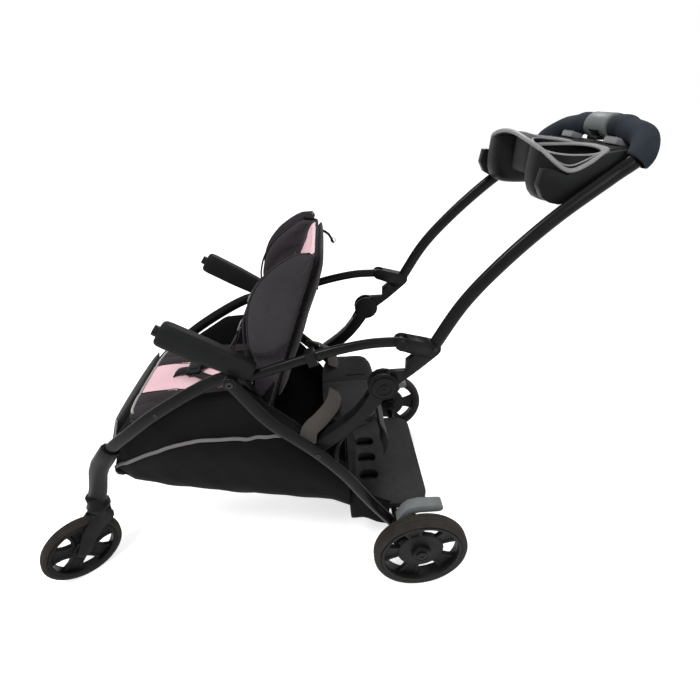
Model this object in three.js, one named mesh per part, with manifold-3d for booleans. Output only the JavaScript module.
// A sit and stand stroller: a folding frame of oval tube with a padded front seat, a rear jump
// seat, a standing platform over the rear axle, a fabric basket and a parent tray at the handle.
// Millimetres. +X is the stroller's left, -Y its front, +Z up. Every piece is one closed solid.
import * as THREE from "three";
import { mergeVertices } from "three/addons/utils/BufferGeometryUtils.js";
import Module from "manifold-3d";

const wasm = await Module();
wasm.setup();

// Gaps
const GAP = 0.3; // between two pieces that touch
const RUN = 0.8; // between two pieces that move past each other
const OVERRUN = 20; // how far a cut runs past the piece that it cuts

// How finely round pieces are drawn
const PIN_SIDES = 10;
const EYE_SIDES = 14;
const DISC_SIDES = 18;
const WHEEL_SIDES = 32;

// Wheels
const REAR_WHEEL_R = 118;
const REAR_TREAD = 34;
const REAR_TRACK = 572; // between the middles of the rear treads
const REAR_TYRE_DEPTH = 19;
const FRONT_WHEEL_R = 89;
const FRONT_TREAD = 28;
const FRONT_TYRE_DEPTH = 15;
const RIM_WALL = 7;
const HUB_R = 24;
const AXLE_R = 5;
const SPOKE_WIDTH = 36;
const SPOKE_THICKNESS = 11;
const SPOKES = 5;
const REAR_HUB_LENGTH = 42;
const FRONT_HUB_LENGTH = 28;

// Where the frame's main points lie. Y is measured from the plane where the side bars are highest.
const AXLE_Y = 204;
const WHEELBASE = 812; // from the rear axle to the caster stems
const STEM_SPREAD = 276; // between the two caster stems
const PIVOT_REACH = 409; // from the rear axle forward to the leg pivot
const PIVOT_HEIGHT = 611;
const LEG_SPREAD = 392; // between the middles of the front legs, at the pivot
const REAR_LEG_SPREAD = 442; // between the middles of the rear legs
const BAR_SPREAD = 386; // between the middles of the side bars
const BAR_PIVOT_REACH = 33; // the bar's front pivot, behind the leg pivot
const BAR_PIVOT_DROP = 7;
const BAR_LENGTH = 321; // between the bar's two pivots, along Y
const BAR_RISE = 68;
const HINGE_REACH = 36; // the fold hinge, ahead of the bar's rear pivot
const HINGE_DROP = 107;
const FOOT_SHARE = 0.46; // where the lower link's foot sits, as a share of the rear leg's reach

// Tubes: widths are across X, depths lie in the side view
const LEG_WIDTH = 18;
const LEG_DEPTH = 29;
const REAR_LEG_WIDTH = 16;
const REAR_LEG_DEPTH = 29;
const BAR_WIDTH = 16;
const BAR_DEPTH = 23;
const HANDLE_WIDTH = 18;
const HANDLE_DEPTH = 30;
const CROSS_TUBE_R = 8;
const PIN_R = 4;

// Front leg, from its top in the armrest to the caster socket: how far along, down and inward
const FRONT_LEG_SHARES = [
  [0.116, 0.035, 0], [0.251, 0.105, 0], [0.472, 0.25, 0.02], [0.612, 0.367, 0.11],
  [0.755, 0.502, 0.32], [0.885, 0.692, 0.66], [0.96, 0.906, 0.93],
];

// Rear leg, from the leg pivot to the rear housing: how far along and down
const LEG_END_REACH = 48; // ahead of the axle
const LEG_END_RISE = 6; // above the axle
const REAR_LEG_SHARES = [
  [0.19, 0.225], [0.33, 0.33], [0.464, 0.432], [0.634, 0.59], [0.803, 0.79],
];

// Casters
const CASTER_TRAIL = 64;
const CASTER_TURN = 144; // degrees from the trailing position, as the photograph shows the near one
const SOCKET_HEIGHT = 40;
const SOCKET_TOP_R = 22;
const SOCKET_SKIRT_R = 27;
const SLEEVE_WALL = 5;
const SOCKET_GRASP = 14; // how far the socket reaches up over the leg's end
const CROWN_R = 22;
const CROWN_HEIGHT = 15;
const CROWN_WEB = 9; // what is left of the crown over the wheel
const CROWN_CLEARANCE = 4; // above the tyre
const BLADE_THICKNESS = 6;
const BLADE_FOOT_R = 15;
const BLADE_TOP_HALF = 24;

// Armrest
const ARMREST_LENGTH = 168; // from its front face to its rear end, along Y
const ARMREST_RISE = 128; // how far the front end stands over the leg pivot
const ARMREST_WIDTH = 33;
const ARMREST_DEPTH = 56;
const ARMREST_REAR_DEPTH = 44;
const BUTTON_R = 11;
const BUTTON_LENGTH = 22;
const BUTTON_REACH = 10; // how far the button stands out of the armrest

// Handle bracket, hinge and lower link
const HINGE_R = 34;
const HINGE_CORE_R = 28;
const HINGE_PLAY = 2.4; // the hinge pin's clearance in the bracket
const LINK_THICKNESS = 26;
const ARM_THICKNESS = 14;
const ARM_HALF = 18;
const BOSS_R = 15;
const SOCKET_REACH = 68; // from the bar's rear pivot back to the handle tube
const SOCKET_DROP = 20;
const LINK_NECK_HALF = 15;
const LINK_BEND_SHARES = [0.65, 0.51]; // from its foot to the hinge, along and up
const LINK_FOOT_R = 17;

// Handle tube, from the bracket up to the top bar: how far along and up, and how much of the taper
const HANDLE_REACH = 395;
const HANDLE_RISE = 422;
const HANDLE_TAPER = 14; // each side leans in this far on the way up
const HANDLE_SHARES = [
  [0.15, 0.244, 0.2], [0.33, 0.442, 0.45], [0.56, 0.645, 0.7], [0.81, 0.825, 0.9],
];
const TOP_BAR_SHARES = [
  [0.92, 0.905, 1], [0.98, 0.966, 0.8], [0.995, 0.99, 0.5],
];
const GRIP_START_SHARES = [0.9, 0.881, 1];
const GRIP_R = 24;
const GRIP_GAP = 38; // from the middle of the handle to each grip

// Side bar clamp
const CLAMP_LENGTH = 20;
const CLAMP_WALL = 5;
const CLAMP_SHARE = 0.42; // along the bar, from its front pivot

// Front seat
const SEAT_WIDTH = 324;
const SEAT_DEPTH = 285;
const SEAT_DROP = 155; // from the leg pivot down to the top of the seat board
const SEAT_BOARD = 8;
const SEAT_PAD = 34;
const SEAT_LIP = 3.4; // from the middle of the seat's front tube back to the seat's front edge
const SEAT_TUBE_R = 8;
const HANGER_THICKNESS = 5;
const HANGER_HALF = 14;
const CALF_LENGTH = 185;
const CALF_PAD = 14;
const CALF_TUCK = 82; // how far the calf panel's hem lies ahead of the seat's edge
const CALF_WIDTH = 290;

// Backrest
const BACK_WIDTH = 328;
const BACK_HEIGHT = 420;
const BACK_LEAN = 19; // degrees from upright
const BACK_PAD = 30;
const BACK_BOARD = 7;
const WING_DEPTH = 83;
const WING_SHARES = [0.34, 0.38, 0.5, 0.68, 0.87, 1, 1, 0.86, 0.56, 0.15]; // of its depth, going up
const WING_PAD = 26;
const WING_TURN_R = 26;
const BACK_PIVOT_REACH = 60; // behind the leg pivot

// Harness
const STRAP_WIDTH = 30;
const STRAP_THICKNESS = 5;
const STRAP_SPREAD = 110; // between the shoulder straps
const BUCKLE_WIDTH = 46;
const BUCKLE_THICKNESS = 16;

// Rear housing, brake lever and platform
const HOUSING_THICKNESS = 30;
const HOUSING_HALF = 21;
const LEVER_THICKNESS = 26;
const LEVER_LENGTH = 92;
const LEVER_RISE = 34;
const LEVER_HALF = 11;
const LEVER_PIVOT_REACH = 47; // ahead of the axle
const LEVER_PIVOT_RISE = 77;
const DECK_WIDTH = 340;
const DECK_LENGTH = 204;
const DECK_THICKNESS = 20;
const DECK_CORNER = 40;
const DECK_OVERHANG = 46; // past the axle
const DECK_SLOTS = 3;
const DECK_SLOT_WIDTH = 44;
const DECK_SLOT_LENGTH = 56;
const AXLE_TUBE_R = 9;

// Jump seat
const JUMP_WIDTH = 272;
const JUMP_DEPTH = 150;
const JUMP_DROP = 203; // from the leg pivot down to the top of its board
const JUMP_BOARD = 7;
const JUMP_PAD = 36;
const JUMP_SETBACK = 82; // its rear edge, ahead of the rear axle
const JUMP_ROOT_SHARE = 0.56; // where its tube leaves the rear leg, as a share of the leg's reach
const FLAP_DROP = 118;
const FLAP_WIDTH = 250;
const FLAP_THICKNESS = 6;
const FLAP_SWELL = 22;

// Webbing from each rear leg over the jump seat
const WEB_WIDTH = 38;
const WEB_THICKNESS = 3;
const WEB_RISE = 13; // how high it arches over the seat's edge
const WEB_ROOT_SHARE = 0.4; // where it leaves the rear leg, as a share of the leg's reach

// Basket
const BASKET_WALL = 4;
const BASKET_REAR_SETBACK = 170; // its rear end, ahead of the rear axle
const BASKET_FRONT_SETBACK = 72; // its front end, behind the caster stems
const BASKET_HALF = 208;

// Parent tray
const TRAY_WIDTH = 334;
const TRAY_DEPTH = 160;
const TRAY_REACH = 212; // from the handle's top bar forward to the tray's front edge
const TRAY_DROP = 34; // from the top bar's middle down to the tray's rim
const TRAY_DIP = 36; // how far the rim is scooped at either end
const TRAY_CREST = 26; // how far the rim rises in the middle of its front
const TRAY_FLANGE = 7;
const TRAY_WALL = 3;
const BOWL_DEPTH = 96;
const BOWL_WIDTH = 104;
const BOWL_LENGTH = 142;
const BOWL_SPREAD = 216; // between the middles of the two bowls
const BIN_DEPTH = 58;
const BIN_WIDTH = 90;
const BIN_LENGTH = 90;
const TRAY_ARM_SPREAD = 180; // between the middles of the two shelves at the back
const TRAY_ARM_WIDTH = 122;
const TRAY_ARM_THICKNESS = 10;

// Zip pull
const PULL_LENGTH = 48;
const PULL_HALF = 3;
const PULL_THICKNESS = 4;
const PULL_SET = 100; // from the middle of the backrest

// Finishes
const finish = (color, roughness, metalness = 0) =>
  new THREE.MeshStandardMaterial({ color, roughness, metalness });
const frameBlack = () => finish(0x17181a, 0.4, 0.5);
const plasticBlack = () => finish(0x242527, 0.55);
const plasticGrey = () => finish(0x8d9092, 0.5);
const rubberBlack = () => finish(0x34312f, 0.85);
const fabricDark = () => finish(0x3d383c, 0.95);
const fabricBlack = () => finish(0x151416, 0.95);
const fabricPink = () => finish(0xe4bcc5, 0.95);
const foamSlate = () => finish(0x2c3138, 0.9);
const webbing = () => finish(0x4a4641, 0.9);

// Solids
const vec = (x, y, z) => new THREE.Vector3(x, y, z);
const radians = THREE.MathUtils.degToRad;
const lerp = THREE.MathUtils.lerp;
const ramp = THREE.MathUtils.smoothstep;

function solidOf(geometry) {
  const bare = geometry.index ? geometry.toNonIndexed() : geometry.clone();
  bare.deleteAttribute("normal");
  bare.deleteAttribute("uv");
  const merged = mergeVertices(bare, 1e-4);
  const solid = new wasm.Manifold(
    new wasm.Mesh({
      numProp: 3,
      vertProperties: merged.attributes.position.array,
      triVerts: new Uint32Array(merged.index.array),
    }),
  );
  return solid;
}

function geometryOf(solid) {
  const { vertProperties, triVerts } = solid.getMesh();
  return new THREE.BufferGeometry()
    .setAttribute("position", new THREE.BufferAttribute(vertProperties, 3))
    .setIndex(new THREE.BufferAttribute(triVerts, 1));
}

const join = (...pieces) => geometryOf(pieces.map(solidOf).reduce((a, b) => a.add(b)));
const cut = (piece, ...tools) =>
  geometryOf(tools.map(solidOf).reduce((a, b) => a.subtract(b), solidOf(piece)));

// The same piece on the other side of the stroller
function mirrored(geometry) {
  const other = geometry.index ? geometry.toNonIndexed() : geometry.clone();
  const p = other.attributes.position;
  for (let i = 0; i < p.count; i += 3) {
    const [a, b, c] = [i, i + 1, i + 2].map((k) => [-p.getX(k), p.getY(k), p.getZ(k)]);
    [a, c, b].forEach((q, k) => p.setXYZ(i + k, ...q));
  }
  other.deleteAttribute("normal");
  return other;
}

// Rings of points, each joined to the next and closed at both ends
function loft(rings) {
  const n = rings[0].length;
  const corners = [];
  const triangle = (a, b, c) => corners.push(a, b, c);
  const middle = (ring) =>
    ring.reduce((sum, p) => sum.add(p), vec(0, 0, 0)).divideScalar(ring.length);
  for (let r = 0; r < rings.length - 1; r++)
    for (let i = 0; i < n; i++) {
      const j = (i + 1) % n;
      triangle(rings[r][i], rings[r][j], rings[r + 1][j]);
      triangle(rings[r][i], rings[r + 1][j], rings[r + 1][i]);
    }
  const [first, last] = [rings[0], rings[rings.length - 1]];
  const [start, end] = [middle(first), middle(last)];
  for (let i = 0; i < n; i++) {
    const j = (i + 1) % n;
    triangle(start, first[j], first[i]);
    triangle(end, last[i], last[j]);
  }
  return outward(new THREE.BufferGeometry().setFromPoints(corners));
}

// Turns a closed surface so that its faces point out
function outward(geometry) {
  const p = geometry.attributes.position;
  const at = (i) => vec().fromBufferAttribute(p, i);
  let volume = 0;
  for (let i = 0; i < p.count; i += 3) volume += at(i).dot(at(i + 1).cross(at(i + 2)));
  if (volume > 0) return geometry;
  for (let i = 0; i < p.count; i += 3) {
    const [b, c] = [at(i + 1), at(i + 2)];
    p.setXYZ(i + 1, c.x, c.y, c.z);
    p.setXYZ(i + 2, b.x, b.y, b.z);
  }
  return geometry;
}

// An oval or rounded tube along a smooth path that lies mostly in the side view
function tube(points, width, depth, { steps = 24, sides = 10, grow = 0 } = {}) {
  const section = new THREE.Shape();
  for (let i = 0; i < sides; i++) {
    const a = (2 * Math.PI * (i + 0.5)) / sides;
    const x = (width / 2 + grow) * Math.cos(a);
    const y = (depth / 2 + grow) * Math.sin(a);
    if (i) section.lineTo(x, y);
    else section.moveTo(x, y);
  }
  const path = new THREE.CatmullRomCurve3(points, false, "centripetal");
  return new THREE.ExtrudeGeometry(section, { steps, extrudePath: path });
}

// A flat plate: an outline in the side view, given thickness along X from x0
function plate(shape, x0, thickness) {
  const sideView = new THREE.Matrix4().makeBasis(vec(0, 1, 0), vec(0, 0, 1), vec(1, 0, 0));
  return new THREE.ExtrudeGeometry(shape, { depth: thickness, bevelEnabled: false, curveSegments: 8 })
    .applyMatrix4(sideView)
    .translate(x0, 0, 0);
}

// The outline of a bar that follows places in the side view, each with its own half width
function band(places, steps = 6, endSteps = 6) {
  const at = (k) => (t) => {
    const s = t * (places.length - 1);
    const i = Math.min(Math.floor(s), places.length - 2);
    return lerp(places[i][k], places[i + 1][k], ramp(s - i, 0, 1));
  };
  const path = new THREE.CatmullRomCurve3(places.map(([y, z]) => vec(y, z, 0)), false, "centripetal");
  const half = at(2);
  const side = (t, sign) => {
    const p = path.getPoint(t);
    const d = path.getTangent(t);
    return new THREE.Vector2(p.x - sign * half(t) * d.y, p.y + sign * half(t) * d.x);
  };
  const cap = (t, from) => {
    const p = path.getPoint(t);
    const d = path.getTangent(t);
    const a0 = Math.atan2(d.y, d.x) + from;
    return Array.from({ length: endSteps - 1 }, (_, i) => {
      const a = a0 + (Math.PI * (i + 1)) / endSteps;
      return new THREE.Vector2(p.x + half(t) * Math.cos(a), p.y + half(t) * Math.sin(a));
    });
  };
  const ts = Array.from({ length: steps + 1 }, (_, i) => i / steps);
  return new THREE.Shape([
    ...ts.map((t) => side(t, -1)),
    ...cap(1, -Math.PI / 2),
    ...ts.reverse().map((t) => side(t, 1)),
    ...cap(0, Math.PI / 2),
  ]);
}

const disc = (y, z, r) => new THREE.Shape().absarc(y, z, r, 0, 2 * Math.PI);
const box = (x0, x1, y0, y1, z0, z1) =>
  new THREE.BoxGeometry(x1 - x0, y1 - y0, z1 - z0).translate(
    (x0 + x1) / 2,
    (y0 + y1) / 2,
    (z0 + z1) / 2,
  );
const rod = (r, x0, x1, y, z, sides = PIN_SIDES) =>
  new THREE.CylinderGeometry(r, r, x1 - x0, sides)
    .rotateZ(Math.PI / 2)
    .translate((x0 + x1) / 2, y, z);

// A padded sheet. place(u, v, side) gives a point; u and v run from -1 to 1 and side is 1 on the
// face, -1 on the back and 0 where the two are sewn together at the rim.
function padded(nu, nv, place) {
  const corners = [];
  const grid = (side) =>
    Array.from({ length: nu + 1 }, (_, i) =>
      Array.from({ length: nv + 1 }, (_, j) => {
        const rim = i === 0 || j === 0 || i === nu || j === nv;
        return place((2 * i) / nu - 1, (2 * j) / nv - 1, rim ? 0 : side);
      }),
    );
  const face = grid(1);
  const back = grid(-1);
  const quad = (g, i, j, flip) => {
    const [a, b, c, d] = [g[i][j], g[i + 1][j], g[i + 1][j + 1], g[i][j + 1]];
    // The corner quads are split the other way, so that no face and back triangle coincide
    const turn = (i === 0 && j === nv - 1) || (i === nu - 1 && j === 0);
    const pairs = turn ? [[a, b, d], [b, c, d]] : [[a, b, c], [a, c, d]];
    pairs.forEach(([p, q, r]) => (flip ? corners.push(p, r, q) : corners.push(p, q, r)));
  };
  for (let i = 0; i < nu; i++)
    for (let j = 0; j < nv; j++) {
      quad(face, i, j, false);
      quad(back, i, j, true);
    }
  return outward(new THREE.BufferGeometry().setFromPoints(corners));
}

// How full a pad is at a place: full in the middle, drawn in towards its rim
const fullness = (u, v, power = 4) =>
  Math.pow(Math.max(0, 1 - Math.pow(Math.abs(u), power)), 0.5) *
  Math.pow(Math.max(0, 1 - Math.pow(Math.abs(v), power)), 0.5);

// A superellipse squeezed out of the unit square
const squircle = (u, v, power = 5) => {
  const stretch = Math.pow(Math.pow(Math.abs(u), power) + Math.pow(Math.abs(v), power), 1 / power);
  return stretch ? Math.max(Math.abs(u), Math.abs(v)) / stretch : 1;
};

// A ring of points on a rounded rectangle
function rounded(width, depth, power = 3.2, sides = 12) {
  return Array.from({ length: sides }, (_, i) => {
    const a = (2 * Math.PI * (i + 0.5)) / sides;
    const grow = (value) => Math.sign(value) * Math.pow(Math.abs(value), 2 / power);
    return [(width / 2) * grow(Math.cos(a)), (depth / 2) * grow(Math.sin(a))];
  });
}

// A flat strip that follows a path, as wide as it is along Y
function strip(points, width, thickness, steps) {
  const path = new THREE.CatmullRomCurve3(points);
  return loft(
    Array.from({ length: steps + 1 }, (_, i) => {
      const at = path.getPoint(i / steps);
      const along = path.getTangent(i / steps);
      const across = vec(0, 1, 0).addScaledVector(along, -along.y).normalize();
      const up = along.clone().cross(across);
      return [[-1, -1], [1, -1], [1, 1], [-1, 1]].map(([a, b]) =>
        at.clone().addScaledVector(across, (a * width) / 2).addScaledVector(up, (b * thickness) / 2),
      );
    }),
  );
}

// The first place on a path that passes a test
const placeOn = (path, test) => path.getPoints(160).find(test);

// Derived places in the side view, as [y, z]
const pivot = [AXLE_Y - PIVOT_REACH, PIVOT_HEIGHT];
const barPivot = [pivot[0] + BAR_PIVOT_REACH, pivot[1] - BAR_PIVOT_DROP];
const knob = [barPivot[0] + BAR_LENGTH, barPivot[1] + BAR_RISE];
const hinge = [knob[0] - HINGE_REACH, knob[1] - HINGE_DROP];
const stem = [AXLE_Y - WHEELBASE, 0];
const seatTop = PIVOT_HEIGHT - SEAT_DROP;
const jumpTop = PIVOT_HEIGHT - JUMP_DROP;
const jumpRear = AXLE_Y - JUMP_SETBACK;
const legEnd = [AXLE_Y - LEG_END_REACH, REAR_WHEEL_R + LEG_END_RISE];
const rearLegPoints = [[0, 0], ...REAR_LEG_SHARES, [1, 1]].map(([a, b]) =>
  vec(REAR_LEG_SPREAD / 2, lerp(pivot[0], legEnd[0], a), lerp(pivot[1], legEnd[1], b)),
);
const rearLegPath = new THREE.CatmullRomCurve3(rearLegPoints, false, "centripetal");
const legAt = (share) => placeOn(rearLegPath, (p) => p.y >= lerp(pivot[0], legEnd[0], share));
const linkFoot = legAt(FOOT_SHARE);

const legX = LEG_SPREAD / 2;
const barX = BAR_SPREAD / 2;
const rearLegX = REAR_LEG_SPREAD / 2;
const wheelX = REAR_TRACK / 2;
const wheelInner = wheelX + REAR_TREAD / 2 - REAR_HUB_LENGTH;

// Wheels, each modelled at the origin with its axle along X

function tyre(radius, tread, depth) {
  const inner = radius - depth;
  const half = tread / 2;
  const shoulder = depth / 3;
  const profile = [
    [inner, -half * 0.8], [radius - shoulder, -half], [radius, -half * 0.5],
    [radius, half * 0.5], [radius - shoulder, half], [inner, half * 0.8], [inner, -half * 0.8],
  ].map(([r, x]) => new THREE.Vector2(r, x));
  return new THREE.LatheGeometry(profile, WHEEL_SIDES).rotateZ(-Math.PI / 2);
}

function rim(radius, tread, depth, hubLength, hubShift) {
  const outer = radius - depth - GAP;
  const inner = outer - RIM_WALL;
  const half = tread * 0.4;
  const ring = new THREE.LatheGeometry(
    [[inner, -half], [outer, -half], [outer, half], [inner, half], [inner, -half]].map(
      ([r, x]) => new THREE.Vector2(r, x),
    ),
    WHEEL_SIDES,
  ).rotateZ(-Math.PI / 2);
  const hub = rod(HUB_R, hubShift - hubLength / 2, hubShift + hubLength / 2, 0, 0, EYE_SIDES);
  const spokeLength = inner + RIM_WALL / 2 - HUB_R / 2;
  const spokes = Array.from({ length: SPOKES }, (_, i) =>
    new THREE.BoxGeometry(SPOKE_THICKNESS, SPOKE_WIDTH, spokeLength)
      .translate(0, 0, HUB_R / 2 + spokeLength / 2)
      .rotateX((2 * Math.PI * i) / SPOKES),
  );
  const bore = rod(AXLE_R + GAP, hubShift - hubLength, hubShift + hubLength, 0, 0);
  return cut(join(ring, hub, ...spokes), bore);
}

const stroller = new THREE.Group();
function add(name, geometry, material, parent = stroller) {
  const mesh = new THREE.Mesh(geometry, material);
  mesh.name = name;
  parent.add(mesh);
  return mesh;
}

// A piece and its twin on the other side
function addPair(name, geometry, material) {
  add(name + "_left", geometry, material());
  add(name + "_right", mirrored(geometry), material());
}

// Front legs
const forkTop = 2 * FRONT_WHEEL_R + CROWN_CLEARANCE + CROWN_WEB;
const socketTop = forkTop + GAP + SOCKET_HEIGHT;
const legTop = [pivot[0] + BOSS_R, pivot[1] + LEG_DEPTH / 6];
const legFoot = [stem[0], socketTop - SOCKET_GRASP];
const frontLegPoints = [[0, 0, 0], ...FRONT_LEG_SHARES, [1, 1, 1]].map(([a, b, c]) =>
  vec(lerp(legX, STEM_SPREAD / 2, c), lerp(legTop[0], legFoot[0], a), lerp(legTop[1], legFoot[1], b)),
);
const frontLegBlank = (grow = 0) => tube(frontLegPoints, LEG_WIDTH, LEG_DEPTH, { steps: 16, grow });
const frontLeg = cut(
  frontLegBlank(),
  rod(PIN_R + GAP, legX - LEG_WIDTH, legX + LEG_WIDTH, ...pivot),
);
addPair("front_leg", frontLeg, frameBlack);

// Rear legs: the tube, its eye at the pivot and the pin that runs through the front leg
const rearLegInner = rearLegX - REAR_LEG_WIDTH / 2;
const rearLeg = join(
  tube(rearLegPoints, REAR_LEG_WIDTH, REAR_LEG_DEPTH, { steps: 12 }),
  rod(BOSS_R, rearLegInner, rearLegX + REAR_LEG_WIDTH / 2, ...pivot, EYE_SIDES),
  rod(PIN_R, legX - LEG_WIDTH / 2, rearLegX, ...pivot),
  rod(PIN_R, barX - LINK_THICKNESS / 2, rearLegX, linkFoot.y, linkFoot.z),
);
addPair("rear_leg", rearLeg, frameBlack);

// Side bars, with an eye at each end
const barShares = [[0, 0], [0.09, 0.13], [0.34, 0.5], [0.57, 0.8], [0.8, 0.985], [1, 1]];
const barPoints = barShares.map(([a, b]) =>
  vec(barX, barPivot[0] + a * BAR_LENGTH, barPivot[1] + b * BAR_RISE),
);
const barBlank = (grow = 0) => tube(barPoints, BAR_WIDTH, BAR_DEPTH, { steps: 12, sides: 8, grow });
const eyeR = BAR_DEPTH / 2;
const sideBar = cut(
  join(
    barBlank(),
    rod(eyeR, barX - BAR_WIDTH / 2, barX + BAR_WIDTH / 2, ...barPivot, EYE_SIDES),
    rod(eyeR, barX - BAR_WIDTH / 2, barX + BAR_WIDTH / 2, ...knob, EYE_SIDES),
  ),
  rod(PIN_R + GAP, barX - BAR_WIDTH, barX + BAR_WIDTH, ...barPivot),
  rod(PIN_R + GAP, barX - BAR_WIDTH, barX + BAR_WIDTH, ...knob),
);
addPair("side_bar", sideBar, frameBlack);

// Clamps on the side bars
const barPath = new THREE.CatmullRomCurve3(barPoints, false, "centripetal");
const clampAt = barPath.getPointAt(CLAMP_SHARE);
const clampTurn = Math.atan2(barPath.getTangentAt(CLAMP_SHARE).z, barPath.getTangentAt(CLAMP_SHARE).y);
const clamp = cut(
  new THREE.BoxGeometry(BAR_WIDTH + 2 * CLAMP_WALL, CLAMP_LENGTH, BAR_DEPTH + 2 * CLAMP_WALL)
    .rotateX(clampTurn)
    .translate(barX, clampAt.y, clampAt.z),
  barBlank(GAP),
);
addPair("bar_clamp", clamp, plasticBlack);

// Armrests: a rounded moulding over the leg's top, with two cheeks that hold the bar's eye
function moulding(stations) {
  return loft(
    stations.map(({ at, turn, width, depth }) =>
      rounded(width, depth).map(([a, b]) =>
        vec(at[0] + a, at[1] - b * Math.sin(turn), at[2] + b * Math.cos(turn)),
      ),
    ),
  );
}

const armrestX = barX + (ARMREST_WIDTH - BAR_WIDTH) / 2 - CLAMP_WALL;
const armrestRear = [barPivot[0] + BOSS_R * 0.7, barPivot[1] + BOSS_R];
const armrestFront = [armrestRear[0] - ARMREST_LENGTH, pivot[1] + ARMREST_RISE - BOSS_R];
const armrestTurn = Math.atan2(armrestRear[1] - armrestFront[1], ARMREST_LENGTH);
const armrestShares = [
  [0, 0, 0.86], [0.03, 0, 1], [0.45, 0, 1], [0.8, 0.5, 0.97], [0.97, 0.9, 0.95], [1, 1, 0.82],
];
const armrestBlank = moulding(
  armrestShares.map(([along, taper, size]) => ({
    at: [
      armrestX,
      lerp(armrestFront[0], armrestRear[0], along),
      lerp(armrestFront[1], armrestRear[1], along),
    ],
    turn: armrestTurn,
    width: ARMREST_WIDTH * size,
    depth: lerp(ARMREST_DEPTH, ARMREST_REAR_DEPTH, taper) * size,
  })),
);
const armrestAxis = [Math.cos(armrestTurn), Math.sin(armrestTurn)];
const buttonAt = (depth) => [
  armrestFront[0] + depth * armrestAxis[0],
  armrestFront[1] + depth * armrestAxis[1],
];
function alongArmrest(r, from, to) {
  const middle = buttonAt((from + to) / 2);
  return new THREE.CylinderGeometry(r, r, to - from, EYE_SIDES)
    .rotateX(armrestTurn)
    .translate(armrestX, ...middle);
}
const barSlot = box(
  barX - BAR_WIDTH / 2 - RUN,
  barX + BAR_WIDTH / 2 + RUN,
  barPivot[0] - eyeR - RUN,
  barPivot[0] + ARMREST_LENGTH,
  pivot[1] - ARMREST_LENGTH,
  pivot[1] + ARMREST_LENGTH,
);
const armrest = join(
  cut(
    armrestBlank,
    frontLegBlank(GAP),
    barSlot,
    rod(PIN_R + GAP, legX - LEG_WIDTH, rearLegX, ...pivot),
    alongArmrest(BUTTON_R + GAP, -OVERRUN, BUTTON_LENGTH - BUTTON_REACH + RUN + BOSS_R / 2),
  ),
  rod(PIN_R, barX - BAR_WIDTH / 2 - RUN - PIN_R, barX + BAR_WIDTH / 2 + RUN + PIN_R, ...barPivot),
);
addPair("armrest", armrest, plasticBlack);
addPair("tray_button", alongArmrest(BUTTON_R, -BUTTON_REACH, BUTTON_LENGTH - BUTTON_REACH), plasticBlack);

// Handle brackets: an arm from the hinge to the handle tube, and a fork that holds the bar's eye
const socketAt = [knob[0] + SOCKET_REACH, knob[1] - SOCKET_DROP];
const handlePoint = ([a, b, c]) =>
  vec(barX - c * HANDLE_TAPER, socketAt[0] + a * HANDLE_REACH, socketAt[1] + b * HANDLE_RISE);
const topBar = [socketAt[0] + HANDLE_REACH, socketAt[1] + HANDLE_RISE];
const topHalf = barX - HANDLE_TAPER;
const handleSide = [handlePoint([0, 0, 0]), ...HANDLE_SHARES.map(handlePoint)];
const topPoint = ([a, b, c]) =>
  vec(topHalf * c, socketAt[0] + a * HANDLE_REACH, socketAt[1] + b * HANDLE_RISE);
const handleHalf = [...handleSide, ...TOP_BAR_SHARES.map(topPoint)];
const handlePoints = [
  ...handleHalf,
  topPoint([1, 1, 0]),
  ...handleHalf.map((p) => vec(-p.x, p.y, p.z)).reverse(),
];
const handleBlank = (grow = 0) =>
  tube(handlePoints, HANDLE_WIDTH, HANDLE_DEPTH, { steps: 36, sides: 10, grow });
add("handle_tube", handleBlank(), frameBlack());

const armX = barX - ARM_THICKNESS / 2;
const forkX = barX - LINK_THICKNESS / 2;
const bracketArm = plate(
  band([
    [...hinge, ARM_HALF],
    [lerp(hinge[0], socketAt[0], 0.5), lerp(hinge[1], socketAt[1], 0.46), ARM_HALF],
    [...socketAt, ARM_HALF],
  ]),
  armX,
  ARM_THICKNESS,
);
const bracketFork = plate(
  band([[...knob, BOSS_R], [socketAt[0] - BOSS_R / 2, socketAt[1], ARM_HALF]], 6),
  forkX,
  LINK_THICKNESS,
);
const bracketSlot = box(
  barX - BAR_WIDTH / 2 - RUN,
  barX + BAR_WIDTH / 2 + RUN,
  knob[0] - BAR_LENGTH,
  knob[0] + eyeR + RUN,
  hinge[1] + HINGE_R + RUN,
  knob[1] + BAR_LENGTH,
);
const bracket = join(
  cut(
    join(bracketArm, bracketFork, plate(disc(...hinge, HINGE_CORE_R), armX, ARM_THICKNESS)),
    bracketSlot,
    handleBlank(GAP),
    rod(PIN_R + HINGE_PLAY, forkX - OVERRUN, forkX + LINK_THICKNESS + OVERRUN, ...hinge),
  ),
  rod(PIN_R, forkX + PIN_R / 2, forkX + LINK_THICKNESS - PIN_R / 2, ...knob),
);
addPair("handle_bracket", bracket, plasticBlack);

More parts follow.
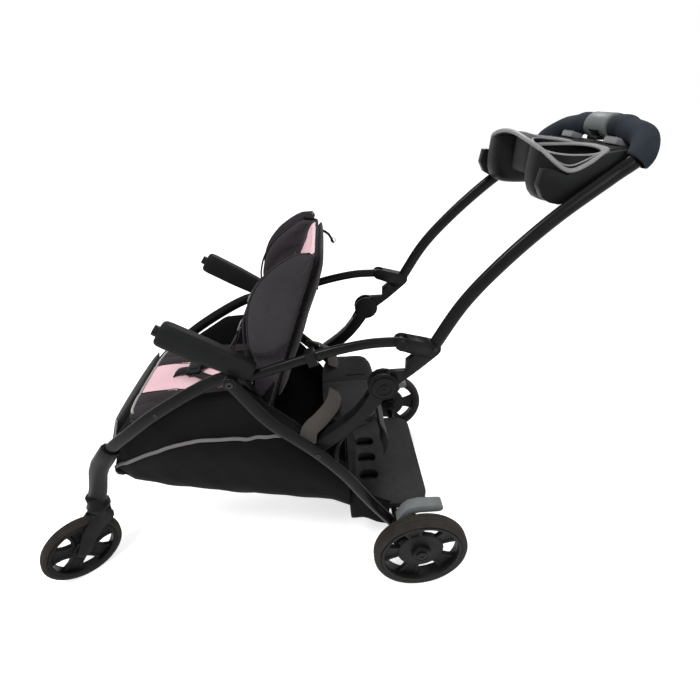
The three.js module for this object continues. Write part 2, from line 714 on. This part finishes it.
// Lower links: a forked disc round the hinge, and a bent blade down to the rear leg
const linkBlade = plate(
  band([
    [...hinge, LINK_NECK_HALF * 1.2],
    [
      lerp(linkFoot.y, hinge[0], LINK_BEND_SHARES[0]),
      lerp(linkFoot.z, hinge[1], LINK_BEND_SHARES[1]),
      LINK_NECK_HALF,
    ],
    [linkFoot.y, linkFoot.z, LINK_FOOT_R],
  ]),
  forkX,
  LINK_THICKNESS,
);
const linkSlot = plate(disc(...hinge, HINGE_R + OVERRUN), armX - RUN, ARM_THICKNESS + 2 * RUN);
const link = join(
  cut(
    join(
      plate(disc(...hinge, HINGE_R), forkX, LINK_THICKNESS),
      linkBlade,
      rod(LINK_FOOT_R * 0.7, barX, rearLegInner - RUN, linkFoot.y, linkFoot.z),
    ),
    linkSlot,
    rod(PIN_R + GAP, forkX - OVERRUN, rearLegX, linkFoot.y, linkFoot.z),
  ),
  rod(PIN_R, forkX + PIN_R / 2, forkX + LINK_THICKNESS - PIN_R / 2, ...hinge),
);
addPair("lower_link", link, plasticBlack);

// Foam grips and the release housing between them
const gripPoints = [
  handlePoint(GRIP_START_SHARES),
  ...TOP_BAR_SHARES.map(topPoint),
  vec(2 * GRIP_GAP, ...topBar),
  vec(GRIP_GAP + GAP, ...topBar),
];
const gripBlank = (grow = 0) =>
  tube(gripPoints, 2 * GRIP_R, 2 * GRIP_R, { steps: 10, sides: 10, grow });
const grip = cut(gripBlank(), handleBlank(GAP));
addPair("grip", grip, foamSlate);
const releaseHousing = cut(
  rod(GRIP_R + PIN_R / 2, GAP - GRIP_GAP, GRIP_GAP - GAP, ...topBar, DISC_SIDES),
  handleBlank(GAP),
  box(
    -GRIP_GAP / 2 - RUN,
    GRIP_GAP / 2 + RUN,
    topBar[0] - GRIP_R,
    topBar[0] + GRIP_R / 2,
    topBar[1] - GRIP_R - OVERRUN,
    topBar[1],
  ),
);
add("release_housing", releaseHousing, plasticGrey());
const trigger = box(
  -GRIP_GAP / 2,
  GRIP_GAP / 2,
  topBar[0] - GRIP_R + RUN,
  topBar[0] + GRIP_R / 2 - RUN,
  topBar[1] - GRIP_R - PIN_R,
  topBar[1] - HANDLE_DEPTH / 2 - PIN_R - RUN,
);
add("fold_trigger", trigger, plasticBlack());

// Caster sockets, forks and front wheels
const socketProfile = [
  [0, 0], [SOCKET_SKIRT_R, 0], [SOCKET_SKIRT_R, SOCKET_HEIGHT * 0.25],
  [SOCKET_TOP_R, SOCKET_HEIGHT * 0.4], [SOCKET_TOP_R, SOCKET_HEIGHT], [0, SOCKET_HEIGHT],
].map(([r, z]) => new THREE.Vector2(r, z));
const sleeve = tube(
  frontLegPoints.slice(-4),
  LEG_WIDTH + 2 * SLEEVE_WALL,
  LEG_DEPTH + 3 * SLEEVE_WALL,
  { steps: 6, sides: 10 },
);
const socket = cut(
  join(
    new THREE.LatheGeometry(socketProfile, EYE_SIDES)
      .rotateX(Math.PI / 2)
      .translate(STEM_SPREAD / 2, stem[0], socketTop - SOCKET_HEIGHT),
    sleeve,
  ),
  frontLegBlank(GAP),
);
addPair("caster_socket", socket, plasticBlack);

// The fork is modelled trailing towards +Y, with the stem over the origin
const bladeInner = FRONT_HUB_LENGTH / 2 + RUN;
const crownBottom = forkTop - CROWN_HEIGHT;
const blade = (x0) =>
  plate(
    band([
      [CASTER_TRAIL, FRONT_WHEEL_R, BLADE_FOOT_R],
      [CASTER_TRAIL * 0.45, lerp(FRONT_WHEEL_R, forkTop, 0.55), BLADE_TOP_HALF * 0.85],
      [0, forkTop - BLADE_TOP_HALF, BLADE_TOP_HALF],
    ]),
    x0,
    BLADE_THICKNESS,
  );
const crown = new THREE.CylinderGeometry(CROWN_R, CROWN_R, CROWN_HEIGHT, EYE_SIDES)
  .rotateX(Math.PI / 2)
  .translate(0, 0, forkTop - CROWN_HEIGHT / 2);
const wheelRoom = rod(
  FRONT_WHEEL_R + CROWN_CLEARANCE,
  -bladeInner,
  bladeInner,
  CASTER_TRAIL,
  FRONT_WHEEL_R,
  DISC_SIDES,
);
const fork = join(
  cut(
    join(
      blade(-bladeInner - BLADE_THICKNESS),
      blade(bladeInner),
      crown,
      box(-bladeInner, bladeInner, -CROWN_R, CROWN_R * 0.8, crownBottom, forkTop),
    ),
    wheelRoom,
  ),
  rod(AXLE_R, -bladeInner - BLADE_THICKNESS, bladeInner + BLADE_THICKNESS, CASTER_TRAIL, FRONT_WHEEL_R),
);
const frontTyre = tyre(FRONT_WHEEL_R, FRONT_TREAD, FRONT_TYRE_DEPTH);
const frontRim = rim(FRONT_WHEEL_R, FRONT_TREAD, FRONT_TYRE_DEPTH, FRONT_HUB_LENGTH, 0);
for (const [side, sign] of [["left", 1], ["right", -1]]) {
  const caster = new THREE.Group();
  caster.position.set((sign * STEM_SPREAD) / 2, stem[0], 0);
  caster.rotation.z = -sign * radians(CASTER_TURN);
  stroller.add(caster);
  add("caster_fork_" + side, fork, plasticBlack(), caster);
  for (const [name, shape, look] of [["tyre", frontTyre, rubberBlack], ["rim", frontRim, plasticBlack]]) {
    const mesh = add("front_" + name + "_" + side, shape, look(), caster);
    mesh.position.set(0, CASTER_TRAIL, FRONT_WHEEL_R);
  }
}

// Rear wheels on one axle
const rearTyre = tyre(REAR_WHEEL_R, REAR_TREAD, REAR_TYRE_DEPTH);
const rearRim = rim(
  REAR_WHEEL_R,
  REAR_TREAD,
  REAR_TYRE_DEPTH,
  REAR_HUB_LENGTH,
  (REAR_TREAD - REAR_HUB_LENGTH) / 2,
);
addPair("rear_tyre", rearTyre.clone().translate(wheelX, AXLE_Y, REAR_WHEEL_R), rubberBlack);
addPair("rear_rim", rearRim.clone().translate(wheelX, AXLE_Y, REAR_WHEEL_R), plasticBlack);
const housingX = wheelInner - RUN - HOUSING_THICKNESS;
const axle = join(
  rod(AXLE_R, -wheelX - REAR_TREAD / 2, wheelX + REAR_TREAD / 2, AXLE_Y, REAR_WHEEL_R),
  rod(AXLE_TUBE_R, GAP - housingX, housingX - GAP, AXLE_Y, REAR_WHEEL_R),
);
add("rear_axle", axle, frameBlack());

// Rear housings: each joins a leg to the axle and carries a brake lever
const leverPivot = [AXLE_Y - LEVER_PIVOT_REACH, REAR_WHEEL_R + LEVER_PIVOT_RISE];
const housing = cut(
  join(
    plate(
      band([
        [AXLE_Y, REAR_WHEEL_R, HOUSING_HALF],
        [...legEnd, HOUSING_HALF],
      ], 4),
      housingX,
      HOUSING_THICKNESS,
    ),
    plate(
      band([
        [...legEnd, HOUSING_HALF],
        [...leverPivot, LEVER_HALF],
      ], 4),
      housingX,
      HOUSING_THICKNESS - LEVER_THICKNESS - RUN,
    ),
    rod(PIN_R, housingX, housingX + HOUSING_THICKNESS, ...leverPivot),
  ),
  rod(AXLE_R + GAP, housingX - OVERRUN, wheelX, AXLE_Y, REAR_WHEEL_R),
);
addPair("rear_housing", housing, plasticBlack);
const leverX = housingX + HOUSING_THICKNESS - LEVER_THICKNESS;
const lever = cut(
  plate(
    band([
      [...leverPivot, LEVER_HALF],
      [leverPivot[0] + LEVER_LENGTH * 0.25, leverPivot[1] + LEVER_RISE, LEVER_HALF * 1.08],
      [leverPivot[0] + LEVER_LENGTH, leverPivot[1] + LEVER_RISE * 1.05, LEVER_HALF],
    ]),
    leverX,
    LEVER_THICKNESS,
  ),
  rod(PIN_R + GAP, leverX - OVERRUN, leverX + LEVER_THICKNESS + OVERRUN, ...leverPivot),
);
addPair("brake_lever", lever, plasticGrey);

// Standing platform on the axle and on a cross tube between the legs
const deckTop = REAR_WHEEL_R + AXLE_TUBE_R + GAP + DECK_THICKNESS;
const deckRear = AXLE_Y + DECK_OVERHANG;
const deckShape = new THREE.Shape();
deckShape.moveTo(-DECK_WIDTH / 2, deckRear - DECK_LENGTH);
deckShape.lineTo(DECK_WIDTH / 2, deckRear - DECK_LENGTH);
deckShape.lineTo(DECK_WIDTH / 2, deckRear - DECK_CORNER);
deckShape.absarc(DECK_WIDTH / 2 - DECK_CORNER, deckRear - DECK_CORNER, DECK_CORNER, 0, Math.PI / 2);
deckShape.absarc(DECK_CORNER - DECK_WIDTH / 2, deckRear - DECK_CORNER, DECK_CORNER, Math.PI / 2, Math.PI);
const slotPitch = DECK_SLOT_WIDTH * 1.5;
for (let i = 0; i < DECK_SLOTS; i++) {
  const x = (i - (DECK_SLOTS - 1) / 2) * slotPitch;
  const [y0, r] = [deckRear - DECK_LENGTH + DECK_SLOT_WIDTH / 2, DECK_SLOT_WIDTH / 2 - PIN_R];
  const hole = new THREE.Path();
  hole.absarc(x, y0 + r, r, Math.PI, 2 * Math.PI);
  hole.absarc(x, y0 + DECK_SLOT_LENGTH - r, r, 0, Math.PI);
  deckShape.holes.push(hole);
}
const deck = new THREE.ExtrudeGeometry(deckShape, {
  depth: DECK_THICKNESS,
  bevelEnabled: false,
  curveSegments: 4,
}).translate(0, 0, deckTop - DECK_THICKNESS);
add("platform", deck, plasticBlack());
const crossY = legEnd[0] - GAP;
const crossTube = rod(
  CROSS_TUBE_R,
  GAP - rearLegInner,
  rearLegInner - GAP,
  crossY,
  deckTop - DECK_THICKNESS - GAP - CROSS_TUBE_R,
);
add("platform_tube", crossTube, frameBlack());

// Jump seat: a bent tube between the rear legs, a board and a pad with a seam down its middle
const jumpRoot = legAt(JUMP_ROOT_SHARE);
const jumpTubeZ = jumpTop - JUMP_BOARD - RUN - CROSS_TUBE_R;
const jumpTubeY = jumpRear - 2 * CROSS_TUBE_R;
const jumpTubeShares = [[0.74, 0.1, 0.3], [0.6, 0.45, 0.8], [0.5, 0.85, 1], [0.28, 1, 1]];
const jumpHalf = [
  vec(rearLegInner + REAR_LEG_WIDTH / 4, jumpRoot.y, jumpRoot.z),
  ...jumpTubeShares.map(([a, b, c]) =>
    vec(a * rearLegInner, lerp(jumpRoot.y, jumpTubeY, b), lerp(jumpRoot.z, jumpTubeZ, c)),
  ),
];
const jumpPoints = [
  ...jumpHalf,
  vec(0, jumpTubeY, jumpTubeZ),
  ...jumpHalf.map((p) => vec(-p.x, p.y, p.z)).reverse(),
];
const rearLegBlank = tube(rearLegPoints, REAR_LEG_WIDTH, REAR_LEG_DEPTH, { steps: 12, grow: GAP });
const jumpTube = cut(
  tube(jumpPoints, 2 * CROSS_TUBE_R, 2 * CROSS_TUBE_R, { steps: 22, sides: 8 }),
  rearLegBlank,
  mirrored(rearLegBlank),
);
add("jump_seat_tube", jumpTube, frameBlack());
const jumpFront = jumpRear - JUMP_DEPTH;
const jumpBoard = box(
  -JUMP_WIDTH * 0.44,
  JUMP_WIDTH * 0.44,
  jumpFront + JUMP_PAD / 4,
  jumpRear - JUMP_PAD / 3,
  jumpTop - JUMP_BOARD,
  jumpTop,
);
add("jump_seat_board", jumpBoard, plasticBlack());
const jumpPad = padded(10, 8, (u, v, side) => {
  const k = squircle(u, v);
  const full = fullness(u * k, v * k);
  const rim = JUMP_PAD * 0.6;
  const seam = 0.3 * Math.exp(-Math.pow(u / 0.1, 2));
  const face = rim + (JUMP_PAD - rim) * full * (1 - seam);
  const back = rim * (1 - Math.min(1, full * 2.2));
  return vec(
    (u * k * JUMP_WIDTH) / 2,
    (jumpFront + jumpRear) / 2 + (v * k * JUMP_DEPTH) / 2,
    jumpTop + GAP + (side > 0 ? face : side < 0 ? back : rim),
  );
});
add("jump_seat_pad", jumpPad, fabricDark());

// The fabric flap that hangs behind the jump seat
const flap = padded(8, 5, (u, v, side) => {
  const down = (1 - v) / 2;
  return vec(
    (u * FLAP_WIDTH) / 2,
    jumpRear - CROSS_TUBE_R + RUN + FLAP_SWELL * Math.sin(down * Math.PI * 0.8) + (side * FLAP_THICKNESS) / 2,
    jumpTubeZ - down * FLAP_DROP,
  );
});
add("rear_flap", flap, fabricDark());

// Front seat: hangers from the leg pivots, a front tube, a board and a pad
const hangerX = barX - BAR_WIDTH / 2 - RUN - CLAMP_WALL - HANGER_THICKNESS * 2;
const backPivot = [pivot[0] + BACK_PIVOT_REACH, seatTop + HANGER_HALF / 2];
const boardHalf = SEAT_WIDTH / 2 - BACK_PAD;
const hanger = join(
  plate(
    band([[...pivot, HANGER_HALF], [...backPivot, HANGER_HALF]], 4),
    hangerX,
    HANGER_THICKNESS,
  ),
  rod(PIN_R, hangerX, legX - LEG_WIDTH / 2 - GAP, pivot[0], pivot[1]),
  rod(PIN_R, boardHalf - OVERRUN / 2, hangerX + HANGER_THICKNESS / 2, ...backPivot),
);
addPair("seat_hanger", hanger, frameBlack);
const frontTubeZ = seatTop - SEAT_BOARD - GAP - SEAT_TUBE_R;
const frontLegPath = new THREE.CatmullRomCurve3(frontLegPoints, false, "centripetal");
const frontTubeAt = placeOn(frontLegPath, (p) => p.z <= frontTubeZ);
const seatFront = frontTubeAt.y + SEAT_LIP;
const seatRear = seatFront + SEAT_DEPTH;
const frontTubeBlank = (r) =>
  rod(r, -frontTubeAt.x, frontTubeAt.x, frontTubeAt.y, frontTubeZ, EYE_SIDES);
const frontTube = cut(
  frontTubeBlank(SEAT_TUBE_R),
  frontLegBlank(GAP),
  mirrored(frontLegBlank(GAP)),
);
add("seat_front_tube", frontTube, frameBlack());
const seatBoard = box(
  -SEAT_WIDTH / 2,
  SEAT_WIDTH / 2,
  frontTubeAt.y,
  seatRear - SEAT_PAD,
  seatTop - SEAT_BOARD,
  seatTop,
);
add("seat_board", seatBoard, plasticBlack());
const seatPad = padded(12, 9, (u, v, side) => {
  const k = squircle(u, v, 7);
  const full = fullness(u * k, v * k);
  const rim = SEAT_PAD * 0.4;
  const channel = 0.22 * Math.exp(-Math.pow((Math.abs(u) - 0.55) / 0.09, 2));
  const face = rim + (SEAT_PAD - rim) * full * (1 - channel);
  const back = rim * (1 - Math.min(1, full * 2.2));
  return vec(
    (u * k * SEAT_WIDTH) / 2,
    (seatFront + seatRear) / 2 + (v * k * SEAT_DEPTH) / 2,
    seatTop + GAP + (side > 0 ? face : side < 0 ? back : rim),
  );
});
add("seat_pad", seatPad, fabricPink());

// The calf panel hangs from the seat's front edge
const calf = padded(8, 8, (u, v, side) => {
  const down = (1 - v) / 2;
  const narrow = 1 - 0.08 * down;
  const bow = CALF_TUCK * Math.pow(down, 1.3);
  const full = side * Math.max(0.25, fullness(u, v));
  return vec(
    (u * narrow * CALF_WIDTH) / 2,
    seatFront - CALF_PAD - bow + (full * CALF_PAD) / 2,
    seatTop + SEAT_PAD * 0.4 - down * CALF_LENGTH,
  );
});
add("calf_panel", calf, fabricDark());

// Backrest: a board and a pad with two wings, both turning at the hangers' lower pins.
// Each is modelled upright over the pivot and then leant back.
const lean = (geometry) =>
  geometry.rotateX(-radians(BACK_LEAN)).translate(0, backPivot[0], backPivot[1]);
const backBoard = lean(
  cut(
    join(
      box(-boardHalf, boardHalf, 0, BACK_BOARD, 0, BACK_HEIGHT * 0.95),
      rod(PIN_R * 2, -boardHalf, boardHalf, 0, 0),
    ),
    ...[-boardHalf, boardHalf].map((x) =>
      rod(PIN_R + GAP, x - OVERRUN / 2 - RUN, x + OVERRUN / 2 + RUN, 0, 0),
    ),
  ),
);
add("backrest_board", backBoard, plasticBlack());

// Where the pad's back runs, seen from above: flat, round a corner, and forward along the wing
function backPath(s, depth) {
  const across = Math.sign(s);
  const flat = BACK_WIDTH / 2 - WING_TURN_R;
  const quarter = (Math.PI / 2) * WING_TURN_R;
  const total = flat + quarter + depth;
  const d = Math.abs(s) * total;
  if (d <= flat) return { x: s * total, y: 0, nx: 0, ny: -1 };
  if (d > flat + quarter)
    return { x: (across * BACK_WIDTH) / 2, y: flat + quarter - WING_TURN_R - d, nx: -across, ny: 0 };
  const a = (d - flat) / WING_TURN_R;
  return {
    x: across * (flat + WING_TURN_R * Math.sin(a)),
    y: -WING_TURN_R * (1 - Math.cos(a)),
    nx: -across * Math.sin(a),
    ny: -Math.cos(a),
  };
}
const backPad = lean(
  padded(18, WING_SHARES.length - 1, (u, v, side) => {
    const up = (v + 1) / 2;
    const depth = WING_DEPTH * WING_SHARES[Math.round(up * (WING_SHARES.length - 1))];
    const { x, y, nx, ny } = backPath(u, depth);
    const full = Math.max(0.3, fullness(u, v, 6));
    const thick = lerp(BACK_PAD, WING_PAD, ramp(Math.abs(u), 0.35, 0.6));
    const away = side > 0 ? thick * full : side < 0 ? 0 : thick * 0.3;
    const top = 1 - 0.05 * u * u;
    return vec(
      x + nx * away,
      y + ny * away - GAP,
      lerp(PIN_R * 3, BACK_HEIGHT * top, up),
    );
  }),
);
add("backrest_pad", backPad, fabricDark());

// Harness: two shoulder straps that meet at the buckle
const strapPath = (x) => [
  [x, BACK_HEIGHT * 0.78], [x, BACK_HEIGHT * 0.5], [x * 0.85, BACK_HEIGHT * 0.34],
];
const strapY = -BACK_PAD - STRAP_THICKNESS / 2 - 2 * RUN;
const shoulder = (sign) => {
  const points = strapPath((sign * STRAP_SPREAD) / 2).map(([x, z]) => vec(x, strapY, z));
  const end = STRAP_WIDTH / 2 + GAP;
  points.push(vec(sign * lerp(end, STRAP_SPREAD / 2, 0.55), strapY - BACK_PAD * 0.3, BACK_HEIGHT * 0.26));
  points.push(vec(sign * end, strapY - BACK_PAD * 1.2, BACK_HEIGHT * 0.2));
  const rings = new THREE.CatmullRomCurve3(points).getPoints(12).map((p) =>
    [[-1, -1], [1, -1], [1, 1], [-1, 1]].map(([a, b]) =>
      vec(p.x + (a * STRAP_WIDTH) / 2, p.y + (b * STRAP_THICKNESS) / 2, p.z),
    ),
  );
  return loft(rings);
};
const buckleZ = BACK_HEIGHT * 0.2 - BUCKLE_WIDTH / 2;
const buckleY = strapY - BACK_PAD * 1.2;
const buckle = box(
  -BUCKLE_WIDTH / 2,
  BUCKLE_WIDTH / 2,
  buckleY - BUCKLE_THICKNESS / 2,
  buckleY + BUCKLE_THICKNESS / 2,
  buckleZ - BUCKLE_WIDTH / 2,
  buckleZ + BUCKLE_WIDTH / 2 - GAP,
);
add("harness_strap_left", lean(shoulder(1)), fabricDark());
add("harness_strap_right", lean(shoulder(-1)), fabricDark());
add("harness_buckle", lean(buckle), plasticBlack());

// Zip pull, which sticks out behind the top of the backrest
const pullTop = [BACK_BOARD + GAP + PULL_HALF, BACK_HEIGHT * 0.95 - 2 * PULL_HALF];
const pull = plate(
  band([
    [...pullTop, PULL_HALF],
    [pullTop[0] + PULL_LENGTH * 0.4, pullTop[1] - PULL_LENGTH * 0.1, PULL_HALF],
    [pullTop[0] + PULL_LENGTH * 0.75, pullTop[1] - PULL_LENGTH * 0.45, PULL_HALF],
  ], 4, 3),
  -PULL_SET,
  PULL_THICKNESS,
);
add("zip_pull", lean(pull), plasticBlack());

// Basket: a fabric trough between the legs, low at the rear, with a wall at each end
const basketShares = [
  // along from the rear; heights of floor, belt, shoulder and rim; widths at the belt and the rim
  [0, 0.286, 0.393, 0.475, 0.507, 0.98, 0.855], [0.077, 0.34, 0.475, 0.54, 0.565, 1, 0.855],
  [0.205, 0.37, 0.565, 0.655, 0.745, 1, 0.855], [0.392, 0.411, 0.655, 0.753, 0.925, 1, 0.885],
  [0.58, 0.437, 0.671, 0.753, 0.913, 0.96, 0.885], [0.764, 0.465, 0.638, 0.712, 0.802, 0.913, 0.885],
  [0.91, 0.474, 0.585, 0.645, 0.722, 0.82, 0.79], [1, 0.471, 0.501, 0.512, 0.527, 0.665, 0.65],
];
const basketRear = AXLE_Y - BASKET_REAR_SETBACK;
const basketFront = stem[0] + BASKET_FRONT_SETBACK;
const basketRows = basketShares.map(([along, floor, belt, shoulder, rim, half, rimHalf]) => ({
  y: lerp(basketRear, basketFront, along),
  floor: floor * PIVOT_HEIGHT,
  belt: belt * PIVOT_HEIGHT,
  shoulder: shoulder * PIVOT_HEIGHT,
  rimZ: rim * PIVOT_HEIGHT,
  half: half * BASKET_HALF,
  rim: rimHalf * BASKET_HALF,
}));
const basketRing = ({ y, floor, belt, shoulder, rimZ, half, rim }, inset) => {
  const r = BASKET_WALL * 4;
  const corner = (sign, turn) => {
    const a = (turn * Math.PI) / 4;
    return [sign * (half - r + (r - inset) * Math.sin(a)), floor + r - (r - inset) * Math.cos(a)];
  };
  const side = (sign) => [
    [sign * (rim - inset), rimZ + (inset ? OVERRUN : 0)], [sign * (rim - inset), shoulder],
    [sign * (half - inset), belt], corner(sign, 2), corner(sign, 1), corner(sign, 0),
  ];
  return [...side(1), ...side(-1).reverse()].map(([x, z]) => vec(x, y, z));
};
const basketRoom = basketRows.map((row, i) => {
  const step = i === 0 ? -BASKET_WALL : i === basketRows.length - 1 ? BASKET_WALL : 0;
  return basketRing({ ...row, y: row.y + step }, BASKET_WALL);
});
const basket = cut(
  loft(basketRows.map((row) => basketRing(row, 0))),
  loft(basketRoom),
  frontTubeBlank(SEAT_TUBE_R + RUN),
);
add("basket", basket, fabricBlack());

// Webbing from each rear leg, over the jump seat's front corner and onto its pad
const webFoot = legAt(WEB_ROOT_SHARE);
const webZ = jumpTop + GAP + JUMP_PAD + GAP + WEB_THICKNESS / 2;
const webShares = [
  [0, 0, 0, 0], [0.08, 0.08, 1, 0.2], [0.27, 0.44, 1, 0.6],
  [0.49, 0.79, 1, 1], [0.71, 0.93, 1, 0.6], [1, 1, 1, 0],
];
const web = strip(
  webShares.map(([across, along, up, rise]) =>
    vec(
      lerp(rearLegInner - GAP - WEB_THICKNESS, JUMP_WIDTH * 0.2, across),
      lerp(webFoot.y, jumpFront + WEB_WIDTH, along),
      lerp(webFoot.z, webZ, up) + rise * WEB_RISE,
    ),
  ),
  WEB_WIDTH,
  WEB_THICKNESS,
  12,
);
addPair("seat_webbing", web, webbing);

// Parent tray: a wavy rim with two bowls and a bin, and arms and lugs back to the handle
const trayFront = topBar[0] - TRAY_REACH;
const trayTop = topBar[1] - TRAY_DROP;
const trayMiddle = trayFront + TRAY_DEPTH / 2;
const trayHalf = TRAY_WIDTH / 2;
const trayRimAt = (u, v) =>
  trayTop +
  TRAY_CREST * Math.exp(-Math.pow(u / 0.75, 2)) * ((1 - v) / 2) -
  TRAY_DIP * Math.pow(u, 4) * Math.exp(-Math.pow((v + 0.35) / 0.65, 2));
const trayRim = padded(10, 6, (u, v, side) => {
  const k = squircle(u, v, 3);
  return vec(
    u * k * trayHalf,
    trayMiddle + (v * k * TRAY_DEPTH) / 2,
    trayRimAt(u * k, v * k) + ((side - 1) * TRAY_FLANGE) / 2,
  );
});

// A hollow under the rim, with its wall; a greater rise lifts its top ring
function trayHollow({ x, width, length, depth, power, shares }, wall, rise) {
  const floorAt = trayTop - depth + (rise ? TRAY_WALL : 0);
  return loft(
    shares.map(([size, down]) =>
      rounded(width * size + 2 * wall, length * size + 2 * wall, power, DISC_SIDES).map(([a, b]) => {
        const top = trayRimAt((x + a) / trayHalf, (2 * b) / TRAY_DEPTH) - TRAY_FLANGE / 2 + rise;
        return vec(x + a, trayMiddle + b, lerp(top, floorAt, down));
      }),
    ),
  );
}

const trayBowls = [1, -1].map((sign) => ({
  x: (sign * BOWL_SPREAD) / 2,
  width: BOWL_WIDTH,
  length: BOWL_LENGTH,
  depth: BOWL_DEPTH,
  power: 2.6,
  shares: [[0.97, 0], [1, 0.55], [0.86, 0.85], [0.64, 1]],
}));
const trayBin = {
  x: 0,
  width: BIN_WIDTH,
  length: BIN_LENGTH,
  depth: BIN_DEPTH,
  power: 6,
  shares: [[1, 0], [1, 0.85], [0.94, 1]],
};
const trayHollows = [...trayBowls, trayBin];

const trayArms = [1, -1].map((sign) => {
  const x = (sign * TRAY_ARM_SPREAD) / 2;
  return box(
    x - TRAY_ARM_WIDTH / 2,
    x + TRAY_ARM_WIDTH / 2,
    trayFront + TRAY_DEPTH - 2 * TRAY_ARM_THICKNESS,
    topBar[0],
    trayTop - TRAY_FLANGE,
    trayTop - TRAY_FLANGE + TRAY_ARM_THICKNESS,
  );
});
const trayLugShares = [
  [0.16, 0.72], [0.36, 1], [1.16, 0.3], [1.1, 0.05], [0.9, 0.15], [0.5, 0.34], [0.2, 0.3],
];
const lugX = (BOWL_SPREAD + BOWL_WIDTH * 0.8) / 2;
const trayLug = plate(
  new THREE.Shape(
    trayLugShares.map(([a, b]) => new THREE.Vector2(trayFront + a * TRAY_DEPTH, trayTop - b * BOWL_DEPTH)),
  ),
  lugX,
  barX - HANDLE_TAPER - HANDLE_WIDTH / 2 - GAP - lugX,
);
const tray = cut(
  join(
    trayRim,
    ...trayHollows.map((hollow) => trayHollow(hollow, TRAY_WALL, 0)),
    ...trayArms,
    trayLug,
    mirrored(trayLug),
  ),
  ...trayHollows.map((hollow) => trayHollow(hollow, 0, OVERRUN)),
  gripBlank(GAP),
  mirrored(gripBlank(GAP)),
);
add("parent_tray", tray, plasticBlack());

// The origin lies on the floor, under the middle of the stroller's box
const bounds = new THREE.Box3().setFromObject(stroller, true);
const middle = bounds.getCenter(vec());
stroller.position.set(-middle.x, -middle.y, -bounds.min.z);

export default stroller;
